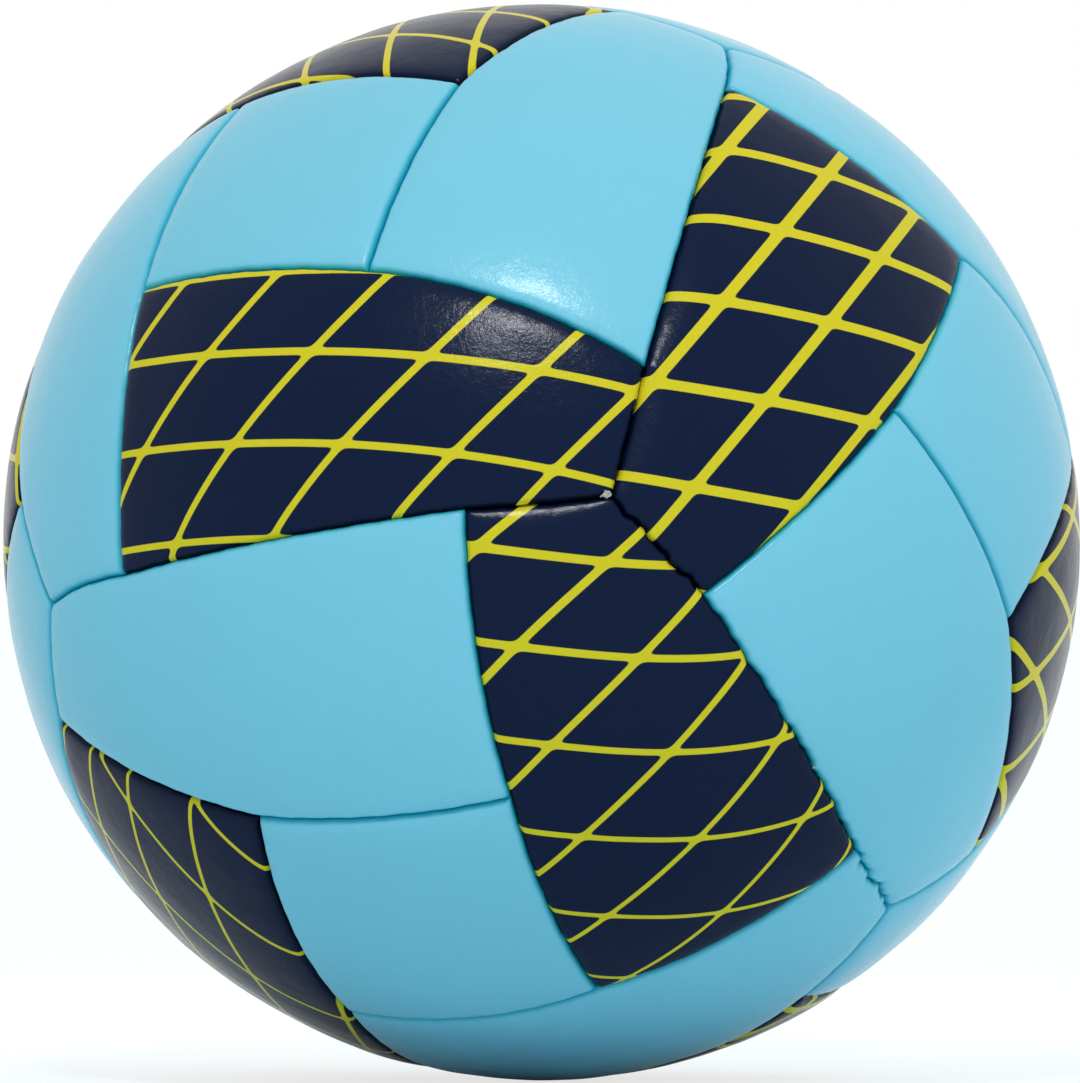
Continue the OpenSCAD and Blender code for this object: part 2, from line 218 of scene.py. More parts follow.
class Seam:
    """One stretch of seam, seen from the panel on its left. Both its panels read the same wander."""

    def __init__(self, a, b):
        names = (corner_name(a), corner_name(b))
        self.wander_size = CLOSING.get(names, CLOSING.get(names[::-1], 0.0))
        self.closing = self.wander_size > 0
        self.roll, self.roll_w = ROLLS.get(names, (0.0, 1.0))
        self.bow = sum(mm for p, q, mm in BOWS if (p, q) == names) - sum(mm for p, q, mm in BOWS if (q, p) == names)
        self.a, self.b = unit(POSE @ strayed(a)), unit(POSE @ strayed(b))
        self.n = unit(np.cross(self.a, self.b))
        self.length = BALL_R * math.acos(np.clip(self.a @ self.b, -1, 1))
        keys = [draw_key(a), draw_key(b)]
        self.flip = keys[0] > keys[1]
        rng = np.random.default_rng(sum(keys))
        self.count = max(2, int(round(self.length / STITCH_PITCH)))
        pitch = self.length / self.count
        strays = rng.uniform(-STITCH_STRAY, STITCH_STRAY, self.count)
        self.stitches = (np.arange(self.count) + 0.5) * pitch + strays
        self.pull = rng.uniform(*PULLS, self.count)
        self.sides = rng.uniform(0.0, 1.0, (2, self.count))
        self.phase = rng.uniform(0, 2 * np.pi, len(WANDER_WAVES))

    def own_way(self, s):
        """Distance along the seam in its own direction, whichever panel asks."""
        return self.length - s if self.flip else s

    def along(self, p):
        return BALL_R * np.arctan2(p @ np.cross(self.n, self.a), p @ self.a)

    def wander(self, s):
        t = self.own_way(s)
        ends = np.clip(np.minimum(t, self.length - t) / WANDER_FADE, 0, 1)
        w = sum(
            share * np.sin(2 * np.pi * t / (STITCH_PITCH * stitches) + phase)
            for (share, stitches), phase in zip(WANDER_WAVES, self.phase)
        )
        size = self.wander_size if self.closing else EVEN_WANDER
        x = np.clip(s / self.length, 0, 1)
        return w * size * ends * (-1 if self.flip else 1) + 4 * self.bow * x * (1 - x)

    def line(self, s):
        """Points of the seam, on a ball of radius 1, at distances along it."""
        way = np.cross(self.n, self.a)
        p = np.outer(np.cos(s / BALL_R), self.a) + np.outer(np.sin(s / BALL_R), way)
        return unit(p + np.outer(self.wander(s), self.n) / BALL_R)

    def nearness(self, p):
        """Distance from the seam and distance along it, in mm."""
        along = self.along(p)
        across = BALL_R * np.arcsin(np.clip(p @ self.n, -1, 1)) - self.wander(along)
        to_a = BALL_R * np.arccos(np.clip(p @ self.a, -1, 1))
        to_b = BALL_R * np.arccos(np.clip(p @ self.b, -1, 1))
        far = np.where(along < 0, to_a, np.where(along > self.length, to_b, across))
        return np.maximum(far, 0), np.clip(along, 0, self.length)

    def groove(self, d, s, dips):
        """The depth of the fold, the crack, the roll and the notch at d mm from the seam."""
        fold = np.clip(1 - d / FOLD_W, 0, 1) ** 2
        widens = CLOSING_WIDENS if self.closing else EVEN_WIDENS
        x = np.clip(1 - d / (CRACK_W * (1 + widens * dips)), 0, 1)
        crack = 1 - np.sqrt(np.maximum(1 - x * x, 0))
        fade = np.clip(4 * s * (self.length - s) / self.length ** 2, 0, 1) ** 0.7
        depth = FOLD_DEPTH * (1 + DIP_DEEPENS * dips) * fold + CRACK_DEPTH * crack
        depth += self.roll * fade * np.clip(1 - d / self.roll_w, 0, 1) ** 2
        return depth + NOTCH_DEPTH * np.clip(1 - d / NOTCH_W, 0, 1) ** 1.5

    def drop(self, p):
        """How far the panel's surface dips towards this seam."""
        d, s = self.nearness(p)
        gap = self.own_way(s)[:, None] - self.stitches[None, :]
        pull = self.pull * (SHARED_PULL + (1 - SHARED_PULL) * self.sides[int(self.flip)])
        dips = (bell(gap, DIP_L) * pull).sum(axis=1)
        nicks = (bell(gap, NICK_L) * pull).sum(axis=1)
        depth = self.groove(d, s, dips)
        if self.closing:
            size = self.wander_size / CLOSING_WANDER
            hands = np.where(self.sides[0] > 0.5, FINE_SLANT, -FINE_SLANT)
            slanted = gap - np.outer(d, hands) * self.sides[1]
            fine = (bell(slanted, FINE_L) * pull).sum(axis=1)
            marks = ((nicks, CLOSING_NICK), (dips, CLOSING_DIP), (fine, CLOSING_FINE))
        else:
            size = 1.0
            marks = ((nicks, EVEN_NICK), (dips, EVEN_DIP))
        return depth + size * sum(deep * mark * bell(d, reach) for mark, (deep, reach) in marks)


# Seams whose planes agree by more than this cosine run on as one line: a panel's outline has no corner there
STRAIGHT_ON = 0.95
# How sharply the grooves of two seams join at a corner: high lets the deeper one win
GROOVE_JOIN = 3.5


class Panel:
    """One cover panel's outline, with the rings that its surfaces are laid out on."""

    def __init__(self, corners, step):
        self.seams = [Seam(a, b) for a, b in zip(corners, corners[1:] + corners[:1])]
        self.centre = unit(np.sum([s.a for s in self.seams], axis=0))
        rim, own = [], []
        for i, seam in enumerate(self.seams):
            count = max(4, int(math.ceil(seam.length / step)))
            rim.append(seam.line(np.arange(count) * seam.length / count))
            own += [i] * count
        self.rim = np.vstack(rim)
        self.own = np.array(own)
        self.reach = np.arccos(np.clip(self.rim @ self.centre, -1, 1)) * BALL_R
        self.far = np.array([BALL_R * math.asin(self.centre @ s.n) for s in self.seams])

    def towards(self, t):
        """The rim's points moved t mm towards the centre."""
        angle = np.asarray(t) / BALL_R
        full = self.reach / BALL_R
        a = np.sin(full - angle) / np.sin(full)
        b = np.sin(angle) / np.sin(full)
        return unit(self.rim * a[:, None] + self.centre[None, :] * b[:, None])

    def inset(self, d):
        """How far along the lines to the centre a ring lies that keeps d mm off every seam."""
        need = np.zeros(len(self.rim))
        n = len(self.seams)
        for i in range(n):
            mine = self.own == i
            for j in (i - 1, i, (i + 1) % n):
                seam = self.seams[j]
                if j != i and self.seams[i].n @ seam.n > STRAIGHT_ON:
                    continue
                p = self.rim[mine]
                bent = seam.wander(seam.along(p))
                start = BALL_R * np.arcsin(np.clip(p @ seam.n, -1, 1)) - bent
                if j == i:
                    start = start * 0
                slope = (self.far[j] - bent - start) / self.reach[mine]
                need[mine] = np.maximum(need[mine], np.where(start < d, (d - start) / slope, 0))
        return need

    def edge(self, p):
        """Nearness to the panel's seams, the mask of the painted shade there: 1 in the seam, 0 from about 1.5 mm
        away.
        """
        return bell(np.min([seam.nearness(p)[0] for seam in self.seams], axis=0), SEAM_SHADE_REACH)

    def drop(self, p):
        return sum(seam.drop(p) ** GROOVE_JOIN for seam in self.seams) ** (1 / GROOVE_JOIN)


# Distances from the rim, in mm, of the rings on a cover's shoulder; further in RINGS rings are evenly spaced
RIM_STEPS = [GAP, 0.10, 0.2, 0.32, 0.48, 0.7, 0.95, 1.25, 1.6, 2.0, 2.5, 3.05, 3.65, 4.3, 5.0, 5.8, 6.7]
STEP = 0.65
RINGS = 26
# A turned-in edge: where its straight side begins and how far above its foot it ends, and the depths on its inside
SIDE_TOP, SIDE_END, SIDE_RINGS = 3.0, 0.2, 4
INSIDE_DEPTHS = (5.0, 3.0)
FOOT_ROUND, CORNER_ROUND, INNER_RINGS = 0.15, 0.25, 5
# The rim of the valve's hole: distance from it and depth of each ring, and how far out the cover's own rings begin
HOLE_RIM, HOLE_RING = ((0.0, 0.35), (0.12, 0.14)), 0.45


def shell(panel, top, hole):
    """Rows of points of a closed cover: over the top, down the edge, back under it and inside.

    With a hole the rows begin and end at its rim.
    """
    reach = panel.reach - hole
    inner, wall = BALL_R - SKIN_T, GAP + SKIN_T
    first = [panel.inset(d) for d in RIM_STEPS]
    last = first[-1]
    steps = first + [last + (reach - last) * k / RINGS for k in range(1, RINGS)]
    rows = []
    if hole:
        rows = [panel.towards(reach - away) * (BALL_R - depth) for away, depth in HOLE_RIM]
        steps[-1] = reach - HOLE_RING
    for t in reversed(steps):
        p = panel.towards(t)
        rows.append(p * top(p)[:, None])
    p = panel.towards(first[0])
    rows += [p * r for r in np.linspace(BALL_R - SIDE_TOP, BALL_R - EDGE_DEPTH + SIDE_END, SIDE_RINGS)]
    foot = (
        (GAP + FOOT_ROUND, EDGE_DEPTH), (wall - FOOT_ROUND, EDGE_DEPTH), (wall, EDGE_DEPTH - FOOT_ROUND),
    )
    rows += [panel.towards(panel.inset(d)) * (BALL_R - depth) for d, depth in foot]
    p = panel.towards(panel.inset(wall))
    rows += [p * r for r in (*(BALL_R - depth for depth in INSIDE_DEPTHS), inner - CORNER_ROUND)]
    start = panel.inset(wall + CORNER_ROUND)
    for k in range(INNER_RINGS + (hole > 0)):
        rows.append(panel.towards(start + (reach - start) * k / INNER_RINGS) * inner)
    return rows


def band(i, j, count):
    """Quads between row i and row j, each a ring of count points."""
    k = np.arange(count)
    nxt = (k + 1) % count
    return np.stack([i * count + k, j * count + k, j * count + nxt, i * count + nxt], axis=1)


def cap(i, tip, count):
    """Triangles that close row i with the point tip."""
    k = np.arange(count)
    return np.stack([i * count + k, np.full(count, tip), i * count + (k + 1) % count], axis=1)


def weave(rows, middle_top=None, middle_bottom=None):
    """A closed mesh from rows of equal length, with a point in the middle at each end, or else joined end to end."""
    count = len(rows[0])
    joined = middle_top is None
    quads = np.vstack([band(i, (i + 1) % len(rows), count) for i in range(len(rows) - (not joined))])
    if joined:
        return np.vstack(rows), quads, np.zeros((0, 3), int)
    points = np.vstack(rows + [middle_top[None, :], middle_bottom[None, :]])
    top, bottom = len(points) - 2, len(points) - 1
    return points, quads, np.vstack([cap(0, top, count)[:, ::-1], cap(len(rows) - 1, bottom, count)])


def new_mesh(name, points, quads, triangles):
    mesh = bpy.data.meshes.new(name)
    mesh.vertices.add(len(points))
    mesh.vertices.foreach_set("co", (points * MM).astype(np.float32).ravel())
    loops = np.concatenate([quads.ravel(), triangles.ravel()]).astype(np.int32)
    mesh.loops.add(len(loops))
    mesh.loops.foreach_set("vertex_index", loops)
    sizes = np.concatenate([np.full(len(quads), 4), np.full(len(triangles), 3)])
    starts = np.concatenate([[0], np.cumsum(sizes)[:-1]]).astype(np.int32)
    mesh.polygons.add(len(sizes))
    mesh.polygons.foreach_set("loop_start", starts)
    mesh.update(calc_edges=True)
    mesh.validate()
    mesh.polygons.foreach_set("use_smooth", np.ones(len(mesh.polygons), bool))
    mesh.update()
    return mesh


def new_object(name, mesh, material):
    piece = bpy.data.objects.new(name, mesh)
    bpy.context.scene.collection.objects.link(piece)
    mesh.materials.append(material)
    return piece


# ---------------------------------------------------------------- materials


class Nodes:
    """A short way to wire the nodes of a new material or world."""

    def __init__(self, owner):
        owner.use_nodes = True
        self.owner = owner
        self.tree = owner.node_tree

    def add(self, kind, settings=None, **inputs):
        node = self.tree.nodes.new(kind)
        for key, value in (settings or {}).items():
            setattr(node, key, value)
        self.set(node, **inputs)
        return node

    def feed(self, socket, value):
        """Give a socket a value, another node's socket or another node's first output."""
        if isinstance(value, bpy.types.NodeSocket):
            self.tree.links.new(value, socket)
        elif isinstance(value, bpy.types.Node):
            self.tree.links.new(value.outputs[0], socket)
        else:
            socket.default_value = value

    def set(self, node, **inputs):
        for key, value in inputs.items():
            self.feed(node.inputs[key.replace("_", " ")], value)

    def math(self, operation, *values):
        node = self.add("ShaderNodeMath", {"operation": operation})
        for socket, value in zip(node.inputs, values):
            self.feed(socket, value)
        return node.outputs[0]

    def mix(self, share, a, b):
        node = self.add("ShaderNodeMix", {"data_type": "RGBA"})
        for number, value in ((0, share), (6, a), (7, b)):
            self.feed(node.inputs[number], value)
        return node.outputs[2]

    def blend(self, share, a, b, end):
        """Two shaders mixed by a share, as what the material or world shows."""
        node = self.add("ShaderNodeMixShader")
        for socket, value in zip(node.inputs, (share, a, b)):
            self.feed(socket, value)
        self.feed(self.tree.nodes[end].inputs["Surface"], node)


def new_material(name):
    return Nodes(bpy.data.materials.new(name))


# Colours of a leather: plain, in its darker clouds, and the painted shade deep in the seams
SKY_COLOURS = ((0.170, 0.508, 0.650, 1), (0.154, 0.478, 0.625, 1), (0.0, 0.36, 0.50, 1))
NAVY_COLOURS = ((0.0036, 0.0105, 0.037, 1), (0.0026, 0.0090, 0.031, 1), (0.0005, 0.0020, 0.0080, 1))
PRINT_COLOUR = (0.57, 0.50, 0.018, 1)
# Leather's roughness and its spread, how strongly its clouds darken it, and the height of its grain in metres
ROUGHNESS, ROUGH_SPREAD, CLOUD_SHARE, GRAIN_HEIGHT = 0.20, 0.10, 0.5, 0.000040
# How much the cells and the waves add to the creases in the grain
CELL_SHARE, WAVE_SHARE = 0.20, 2.4
# The printed lines' soft edge and how far two lines run together where they cross, in mm
PRINT_EDGE, PRINT_JOIN = 0.06, 1.3


def net_lines(n):
    """The printed net's share: two families of lines, each a whole step apart, with rounded crossings."""
    where = n.add("ShaderNodeAttribute", {"attribute_name": "net"}).outputs["Vector"]
    steps = n.add("ShaderNodeAttribute", {"attribute_name": "net_step"}).outputs["Vector"]
    where = n.add("ShaderNodeSeparateXYZ", Vector=where).outputs
    steps = n.add("ShaderNodeSeparateXYZ", Vector=steps).outputs
    away = []
    for axis in (0, 1):
        part = n.math("FRACT", n.math("ADD", where[axis], 0.5))
        part = n.math("ABSOLUTE", n.math("SUBTRACT", part, 0.5))
        away.append(n.math("MULTIPLY", part, steps[axis]))
    near = n.math("SMOOTH_MIN", *away, PRINT_JOIN)
    low, high = n.math("SUBTRACT", where[2], PRINT_EDGE), n.math("ADD", where[2], PRINT_EDGE)
    return n.add("ShaderNodeMapRange", Value=near, From_Min=low, From_Max=high, To_Min=1.0, To_Max=0.0)


def leather(name, colours, specular, printed=False):
    """Grained cover skin: small cells and streaky creases, slightly uneven colour and sheen, and painted shade in the
    seams.
    """
    n = new_material(name)
    place = n.add("ShaderNodeTexCoord").outputs["Object"]
    cells = n.add("ShaderNodeTexVoronoi", Vector=place, Scale=2100.0)
    creases = n.add("ShaderNodeTexNoise", Vector=place, Scale=1100.0, Detail=3.0, Roughness=0.6, Distortion=1.2)
    waves = n.add("ShaderNodeTexNoise", Vector=place, Scale=240.0, Detail=2.0, Roughness=0.5)
    cloud = n.add("ShaderNodeTexNoise", Vector=place, Scale=60.0, Detail=3.0, Roughness=0.55)
    grain = n.math("MULTIPLY_ADD", cells, CELL_SHARE, creases.outputs[0])
    grain = n.math("MULTIPLY_ADD", waves, WAVE_SHARE, grain)
    uneven = n.math("MULTIPLY_ADD", cloud, ROUGH_SPREAD, ROUGHNESS - ROUGH_SPREAD / 2)
    bump = n.add("ShaderNodeBump", Strength=1.0, Distance=GRAIN_HEIGHT, Height=grain)
    plain_colour, dark, seam = colours
    tone = n.mix(n.math("MULTIPLY", cloud, CLOUD_SHARE), plain_colour, dark)
    # Painted shade: near every seam the colour turns to the seams' darker colour
    tone = n.mix(n.add("ShaderNodeAttribute", {"attribute_name": "edge"}).outputs["Fac"], tone, seam)
    if printed:
        tone = n.mix(net_lines(n), tone, PRINT_COLOUR)
    shader = n.tree.nodes["Principled BSDF"]
    n.set(shader, Base_Color=tone, Roughness=uneven, Normal=bump, Specular_IOR_Level=specular)
    return n.owner


COVER_LOOKS = {
    "navy": leather("navy_leather", NAVY_COLOURS, 0.06, printed=True),
    "sky": leather("sky_leather", SKY_COLOURS, 0.08),
    "square": leather("square_leather", SKY_COLOURS, 0.08),
}
# What stays of a plain material's colour in its darker spots, and the height of its unevenness in metres
PLAIN_SHADE, PLAIN_HEIGHT = 0.8, 0.0002


def plain(name, colour, roughness, scale, strength, specular=0.3):
    """A material of one slightly spotted colour with a fine, uneven surface."""
    n = new_material(name)
    place = n.add("ShaderNodeTexCoord").outputs["Object"]
    noise = n.add("ShaderNodeTexNoise", Vector=place, Scale=scale, Detail=4.0)
    bump = n.add("ShaderNodeBump", Strength=strength, Distance=PLAIN_HEIGHT, Height=noise)
    tone = n.mix(noise.outputs[0], (*colour, 1), (*(c * PLAIN_SHADE for c in colour), 1))
    shader = n.tree.nodes["Principled BSDF"]
    n.set(shader, Base_Color=tone, Roughness=roughness, Normal=bump, Specular_IOR_Level=specular)
    return n.owner


foam_look = plain("foam", (0.80, 0.77, 0.68), 0.9, 1500.0, 0.5, 0.1)
cloth_look = plain("backing_cloth", (0.60, 0.55, 0.42), 0.9, 2500.0, 0.8, 0.1)
thread_look = plain("waxed_thread", (0.52, 0.51, 0.46), 0.6, 3000.0, 0.6)
rubber_look = plain("rubber", (0.015, 0.015, 0.015), 0.55, 900.0, 0.2, 0.4)
bladder_look = plain("bladder_rubber", (0.030, 0.030, 0.033), 0.5, 700.0, 0.2, 0.4)

# The CAD's own pieces that stay
for node_name, look in (("valve_patch", cloth_look), ("valve_body", rubber_look), ("valve_core", rubber_look)):
    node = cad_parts[node_name]
    node.data.materials.clear()
    node.data.materials.append(look)

# ---------------------------------------------------------------- the printed net's own coordinates

NET_TERMS = [(i, j) for i in range(4) for j in range(4 - i)]
NET_SCALE = 50.0
# A printed line's least and greatest width, in mm
LINE_W_RANGE = (0.35, 2.1)
# The small steps that the net's slopes are measured over: in x, y and as an angle
SMALL_STEP, SMALL_TURN = 0.01, 0.002
# Each print: both families' cubic terms in x, y (in 50 mm, from the panel's middle), and its line width in mm
PRINTS = {
    "A": ([2.933, -3.059, 0.255, 0.111, 1.101, -0.183, 0.702, 0.046, 0.253, 0.219],
          [1.528, -2.744, -0.110, -0.141, -1.669, 0.067, -0.318, -0.058, 0.110, 0.070], (1.40, 0.23, 0.20)),
    "B": ([2.355, 0.076, 0.186, -0.087, 3.112, 0.078, 0.079, -0.044, -0.116, -0.079],
          [1.246, -2.625, -0.066, 0.233, -1.824, -0.073, 0.107, 0.066, 0.084, 0.059], (1.90, -0.29, -0.06)),
    "C": ([2.505, -0.296, 0.093, 0.149, 3.241, -0.350, 1.125, -0.145, 0.615, 0.054],
          [2.256, -2.595, 0.003, -0.026, 1.722, -0.347, 0.565, -0.124, 0.408, 0.173], (1.25, 0.43, -0.22)),
    "J": ([2.550, -3.628, 2.541, -0.774, 1.266, -0.365, 3.017, 0.442, 1.432, 0.367],
          [1.138, -2.599, 0.280, 0.811, -1.987, 0.703, -0.605, -0.850, -0.632, -0.958], (0.90, 0.10, 0.10)),
    "L": ([3.288, -1.114, 0.0, 0.0, 3.142, 0.0, 0.0, 0.0, 0.0, 0.0],
          [2.066, 2.472, 0.0, 0.0, 2.236, 0.0, 0.0, 0.0, 0.0, 0.0], (1.90, 0.0, 0.0)),
}
# A print can lie moved (mm), turned (degrees), stretched, and with its lines wider or thinner
AS_MADE = (0.0, 0.0, 0.0, 1.0, 1.0, 1.0)
SEEN_TOP = (-1.04, 6.07, 3.7, 1.011, 0.977, 0.62)
SEEN_RIGHT = (-6.24, 8.89, -1.6, 1.001, 0.888, 0.80)
# Print J is only known on one side of this line (normal and distance in mm); beyond it the lines run straight on
KNOWN_PART = (0.33, -0.944, 4.0)
THIRD = np.array([[0, 0, 1], [1, 0, 0], [0, 1, 0]], float)
# Which print each navy panel has: the corner where three meet, and the panel's third of a turn round it
PANEL_PRINTS = {
    (1, 1, 1, 0): ("A", AS_MADE), (1, 1, 1, 2): ("B", AS_MADE), (1, 1, 1, 1): ("C", AS_MADE),
    (1, -1, -1, 0): ("L", AS_MADE), (1, -1, -1, 1): ("J", AS_MADE), (1, -1, -1, 2): ("C", AS_MADE),
    (-1, 1, -1, 0): ("C", AS_MADE), (-1, 1, -1, 1): ("A", AS_MADE), (-1, 1, -1, 2): ("B", SEEN_RIGHT),
    (-1, -1, 1, 0): ("B", SEEN_TOP), (-1, -1, 1, 1): ("C", AS_MADE), (-1, -1, 1, 2): ("A", AS_MADE),
}
HOME = unit(np.sum(TRAPEZOID, axis=0))
HOME_X = unit(np.cross([0.0, 0.0, 1.0], HOME))
HOME_Y = np.cross(HOME, HOME_X)


def net_panel(corners):
    """The turn from the first navy panel to this one, and this one's key in PANEL_PRINTS."""
    signs = [int(c) for c in np.sign(corners[0])]
    middle = unit(np.sum(corners, axis=0))
    turns = [np.diag(np.array(signs, float)) @ np.linalg.matrix_power(THIRD, k) for k in (0, 1, 2)]
    third = max(range(3), key=lambda k: (turns[k] @ HOME) @ middle)
    return turns[third], (*signs, third)


def cubic(terms, x, y):
    return sum(c * x ** i * y ** j for c, (i, j) in zip(terms, NET_TERMS))


def net_steps(q, name, moved):
    """Both families' line numbers at directions on the first navy panel."""
    away = BALL_R * np.arccos(np.clip(q @ HOME, -1, 1))
    side = q - np.outer(q @ HOME, HOME)
    side = side / np.maximum(np.linalg.norm(side, axis=1, keepdims=True), 1e-9)
    x, y = away * (side @ HOME_X), away * (side @ HOME_Y)
    dx, dy, degrees, sx, sy, _ = moved
    c, s = math.cos(math.radians(degrees)), math.sin(math.radians(degrees))
    x, y = (c * x - s * y) * sx + dx, (s * x + c * y) * sy + dy
    over = np.zeros(len(q))
    if name == "J":
        nx, ny, known = KNOWN_PART
        over = np.maximum(x * nx + y * ny - known, 0)
        x, y = x - nx * over, y - ny * over
    x, y = x / NET_SCALE, y / NET_SCALE
    lines = []
    for terms in PRINTS[name][:2]:
        value = cubic(terms, x, y)
        if name == "J":
            on = cubic(terms, x + SMALL_STEP * nx, y + SMALL_STEP * ny)
            value = value + (on - value) / (SMALL_STEP * NET_SCALE) * over
        lines.append(value)
    return np.stack(lines, axis=1), x, y


def net_place(p, corners):
    """Net steps and half line width, in mm, and how many mm a step of each family is there."""
    turned, key = net_panel(corners)
    name, moved = PANEL_PRINTS[key]
    q = unit(p) @ POSE @ turned
    lines, x, y = net_steps(q, name, moved)
    slopes = np.zeros((len(p), 2))
    aside = unit(np.cross(q, [0.31, 0.52, -0.79]))
    for way in (aside, np.cross(q, aside)):
        slopes += ((net_steps(unit(q + SMALL_TURN * way), name, moved)[0] - lines) / (SMALL_TURN * BALL_R)) ** 2
    middle_w, by_x, by_y = PRINTS[name][2]
    half = 0.5 * np.clip(middle_w + by_x * x + by_y * y - LINE_BLUR, *LINE_W_RANGE) * moved[5]
    steps = 1 / np.sqrt(slopes)
    return np.column_stack([lines, half]), np.column_stack([steps, np.zeros(len(p))])


# ---------------------------------------------------------------- the cover panels

# Heights of the leather's soft unevenness, in mm: long lumps, which flatten in the seams, and short ripples
LUMP, RIPPLE = 0.05, 0.012


def top_surface(panel):
    """A function that gives the cover's surface radius at directions from the ball's centre."""
    def top(p):
        q = p * BALL_R
        d = panel.drop(p)
        return BALL_R - d - LUMP + LUMP * lumps(q) * np.exp(-d) + RIPPLE * ripples(q)

    return top


def sewn_in(piece, node_name):
    """The piece takes the CAD node's place on the ball."""
    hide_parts(node_name)
    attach(piece, "root")


def neck_hole(word, i):
    return NECK_R if word == "square" and i == VALVE_FACE else 0.0


def cover(word, i, corners):
    """The leather of panel i of one colour."""
    panel, hole = Panel(corners, STEP), neck_hole(word, i)
    top = top_surface(panel)
    middle = panel.centre
    ends = () if hole else (middle * top(middle[None, :])[0], middle * (BALL_R - SKIN_T))
    points, quads, triangles = weave(shell(panel, top, hole), *ends)
    mesh = new_mesh(f"cover_{word}_panel_{i + 1}", points, quads, triangles)
    # The painted shade's mask: how near each point lies to the panel's seams
    layer = mesh.attributes.new("edge", "FLOAT", "POINT")
    layer.data.foreach_set("value", panel.edge(unit(points)).astype(np.float32))
    if word == "navy":
        for layer_name, values in zip(("net", "net_step"), net_place(points, corners)):
            layer = mesh.attributes.new(layer_name, "FLOAT_VECTOR", "POINT")
            layer.data.foreach_set("vector", values.astype(np.float32).ravel())
    piece = new_object(mesh.name, mesh, COVER_LOOKS[word])
    sewn_in(piece, f"{word}_panel_{i + 1}")


def outlines():
    """Every panel's colour and corners, in the order of the panels' numbers."""
    for i in range(12):
        for colour, word in enumerate(("navy", "sky")):
            quarter = 2 * (i % 2) + (1 - colour if i // 2 > 1 else colour)
            place = FACE_TURNS[i // 2] @ turn("Z", 90 * quarter)
            yield word, [place @ v for v in TRAPEZOID]
    for place in FACE_TURNS:
        yield "square", [place @ v for v in SQUARE_PANEL]


ALL_CORNERS = {"navy": [], "sky": [], "square": []}
for word, corners in outlines():
    cover(word, len(ALL_CORNERS[word]), corners)
    ALL_CORNERS[word].append(corners)

# ---------------------------------------------------------------- pads, backings, thread and knot

# A layer's rings, and the step of its outline, which is finer where the valve's hole is cut
LAYER_RINGS, LAYER_STEP, HOLED_STEP = 7, 3.0, 1.5
# Its softened outer corner: where the flat top ends, the ring between, and how far down the side begins, in mm
SOFT_START, SOFT_RING, SOFT_RING_DROP, SOFT_SIDE = 0.5, 0.12, 0.08, 0.3


def join(parts):
    """One set of points and faces from several closed shells."""
    points, quads, triangles, start = [], [], [], 0
    for p, q, t in parts:
        points.append(p)
        quads.append(q + start)
        triangles.append(t + start)
        start += len(p)
    return np.vstack(points), np.vstack(quads), np.vstack(triangles)


def slab(corners, top_r, bottom_r, hole):
    """A flat-edged layer under one panel, its outer corner softened."""
    panel = Panel(corners, HOLED_STEP if hole else LAYER_STEP)
    inset = GAP + SKIN_T + GLUE
    start = panel.inset(inset + SOFT_START)
    reach = panel.reach - hole
    steps = range(1, LAYER_RINGS + (hole > 0))
    rings = [panel.towards(start + (reach - start) * k / LAYER_RINGS) for k in steps]
    edge = panel.towards(panel.inset(inset))
    rows = [p * top_r for p in reversed(rings)]
    rows.append(panel.towards(start) * top_r)
    rows.append(panel.towards(panel.inset(inset + SOFT_RING)) * (top_r - SOFT_RING_DROP))
    rows += [edge * (top_r - SOFT_SIDE), edge * bottom_r]
    rows += [p * bottom_r for p in rings]
    return weave(rows, *(() if hole else (panel.centre * top_r, panel.centre * bottom_r)))


FOAM_TOP = BALL_R - SKIN_T - GLUE
BACKING_TOP = FOAM_TOP - FOAM_T - GLUE
for word, group in ALL_CORNERS.items():
    for layer, top_r, thick, look, slot in (
        ("foam_pads", FOAM_TOP, FOAM_T, foam_look, "foam"),
        ("backings", BACKING_TOP, BACKING_T, cloth_look, "backing_cloth"),
    ):
        slabs = [slab(c, top_r, top_r - thick, neck_hole(word, i)) for i, c in enumerate(group)]
        piece = new_object(f"sewn_{word}_{layer}", new_mesh(f"{word}_{layer}", *join(slabs)), look)
        sewn_in(piece, f"{word}_{layer}")


def tube(path, side, up, outline):
    """A closed rod: the outline, in mm along side and up, carried along the path."""
    turned = np.cross(side[0], up[0]) @ (path[1] - path[0])
    area = sum(p[0] * q[1] - q[0] * p[1] for p, q in zip(outline, outline[1:] + outline[:1]))
    if turned * area > 0:
        outline = outline[::-1]
    rows = [p + np.array([x * a + y * b for x, y in outline]) for p, a, b in zip(path, side, up)]
    return weave(rows, rows[0].mean(axis=0), rows[-1].mean(axis=0))


# The pressed thread's outline, across from the edge that it lies on and up, as shares of its diameter
STRAND = [
    (0.02, -0.52), (0.0, 0.0), (0.02, 0.52), (0.38, 0.60), (0.85, 0.38), (1.0, 0.0), (0.85, -0.38), (0.38, -0.60),
]
ROUND = [(math.cos(a), math.sin(a)) for a in (2 * math.pi * k / 8 for k in range(8))]
# The spacing of a thread's points and the slack past its last stitch in mm, and a stitch's radius in thread diameters
THREAD_STEP, THREAD_SLACK, STITCH_R = 1.4, 0.5, 0.4


